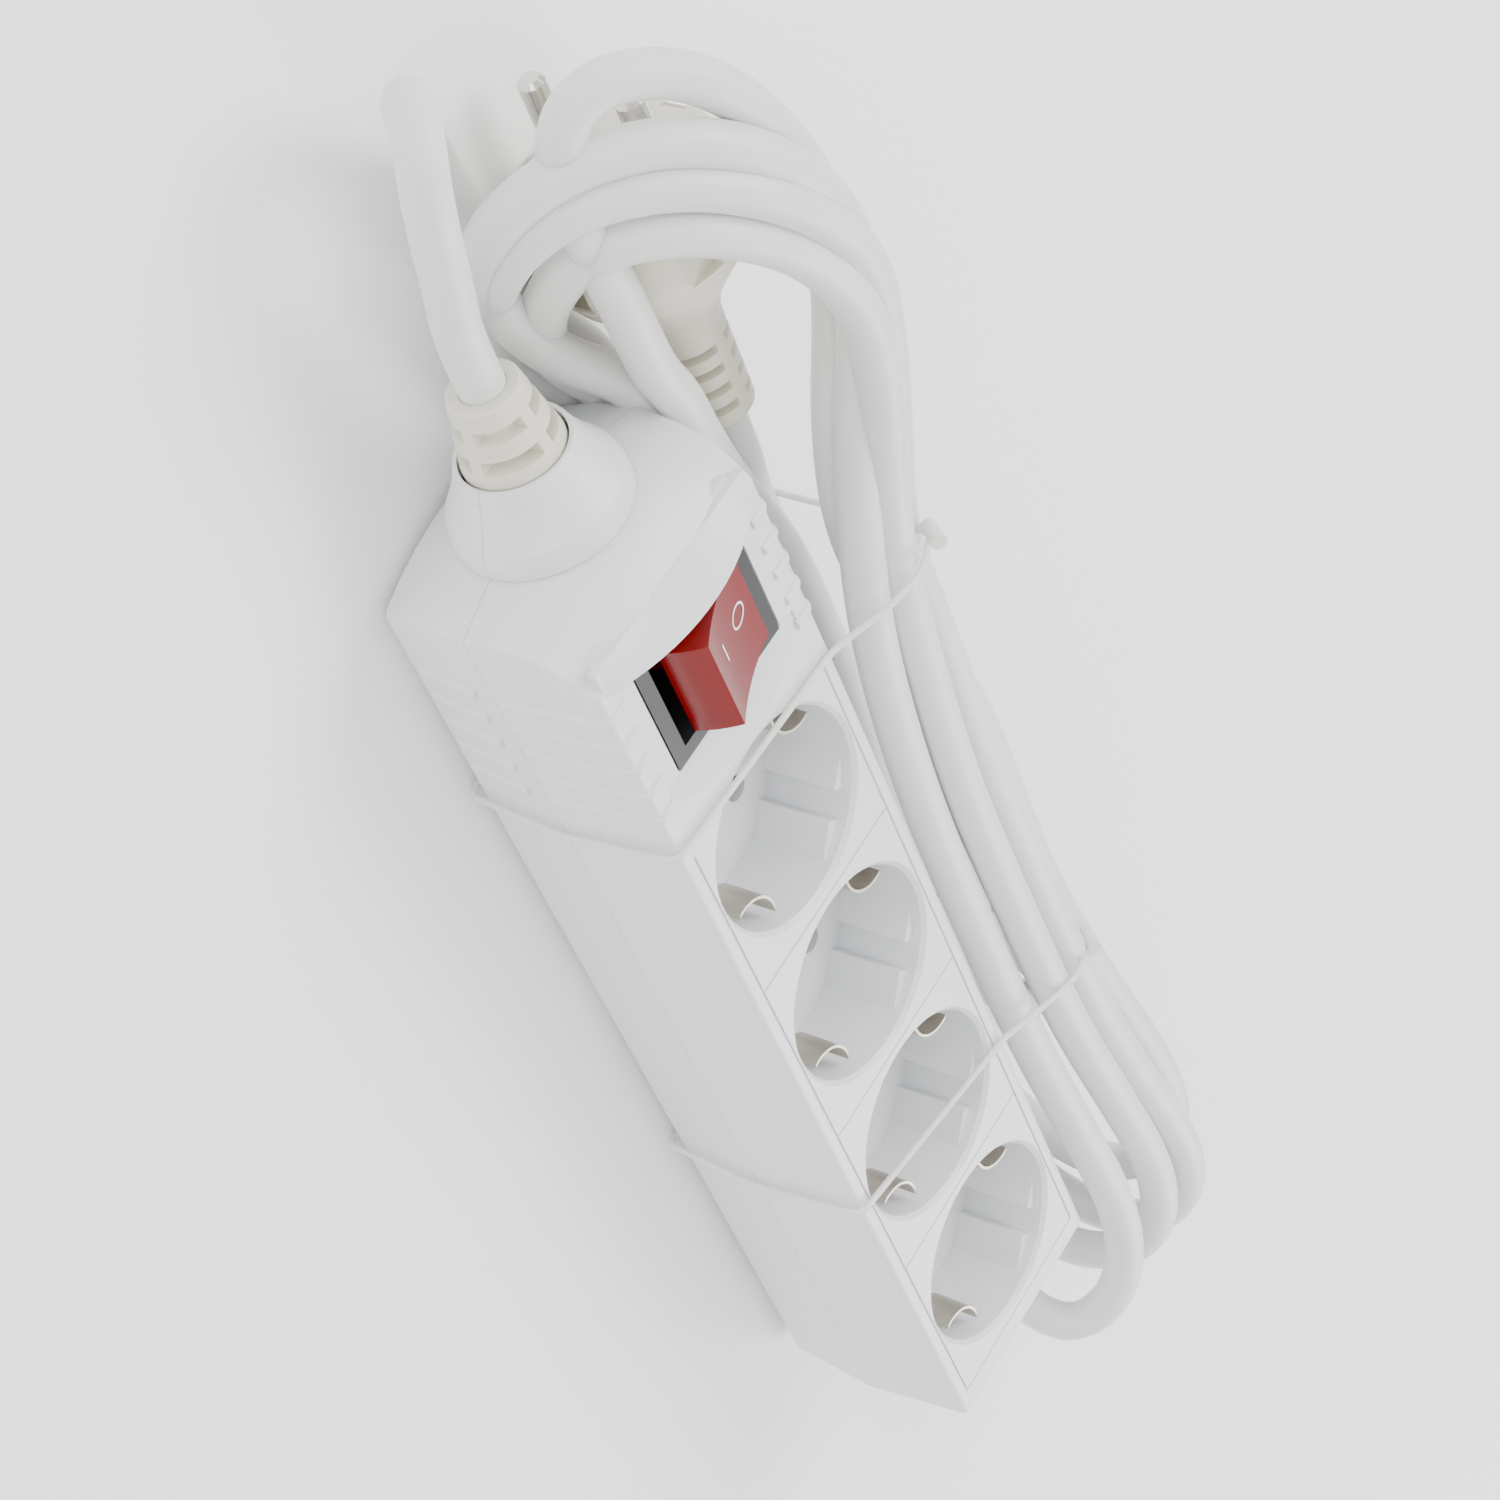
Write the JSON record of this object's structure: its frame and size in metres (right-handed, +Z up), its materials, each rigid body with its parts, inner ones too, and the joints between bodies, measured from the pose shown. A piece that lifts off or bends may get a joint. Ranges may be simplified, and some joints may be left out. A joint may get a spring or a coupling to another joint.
{
  "type": "power strip",
  "caption": "Earthed extension strip with recessed round sockets, a lit rocker switch under a hood, and its cord wound in a tied hank with its plug.",
  "frame": {"origin": "middle of the strip's footprint, at the level it stands on", "axes": "+X along the strip to its closed end, the cord leaves at -X; +Y to the hank; +Z up out of the sockets"},
  "size_m": [0.3529, 0.0893, 0.056],
  "materials": {
    "case_white": "satin moulded",
    "switch_black": "satin moulded",
    "rocker_red": "translucent gloss",
    "lamp_glass": "clear",
    "contact_brass": "stamped",
    "earth_spring": "nickel plated",
    "screw_steel": "zinc plated",
    "boot_ivory": "satin moulded",
    "cord_white": "satin PVC",
    "wire_brown": "satin PVC",
    "wire_blue": "satin PVC",
    "wire_green": "satin PVC",
    "pin_nickel": "nickel plated",
    "tie_white": "translucent"
  },
  "bodies": {
    "strip": {"upper_shell": "case_white", "lower_shell": "case_white", "switch_housing": "switch_black", "switch_terminals": "contact_brass", "live_busbar": "contact_brass", "neutral_busbar": "contact_brass", "earth_rail": "earth_spring", "case_screws": "screw_steel", "cord_clamp": "case_white", "clamp_screws": "screw_steel", "strain_relief": "boot_ivory", "cord_inner": "cord_white", "cord_lead": "cord_white", "cord_hank": "cord_white", "cord_tail": "cord_white", "live_wires": "wire_brown", "neutral_wires": "wire_blue", "earth_wire": "wire_green", "plug_body": "boot_ivory", "plug_grip": "boot_ivory", "plug_pins": "pin_nickel", "plug_earth_contacts": "earth_spring", "upper_tie": "tie_white", "lower_tie": "tie_white"},
    "rocker": {"rocker": "rocker_red", "neon_lamp": "lamp_glass"},
    "levers": {"contact_levers": "contact_brass"}
  },
  "joints": [
    {"name": "rocker_tilt", "type": "hinge", "parent": "strip", "child": "rocker", "pos_m": [-0.0748, 0, 0.0385], "axis": [1, 0, 0], "range_deg": [0, 40]},
    {"name": "lever_tilt", "type": "hinge", "parent": "strip", "child": "levers", "pos_m": [-0.0748, 0, 0.0285], "axis": [1, 0, 0], "range_deg": [-16, 0]}
  ],
  "couplings": [
    {"joint": "lever_tilt", "follows": "rocker_tilt", "ratio": -0.4}
  ]
}
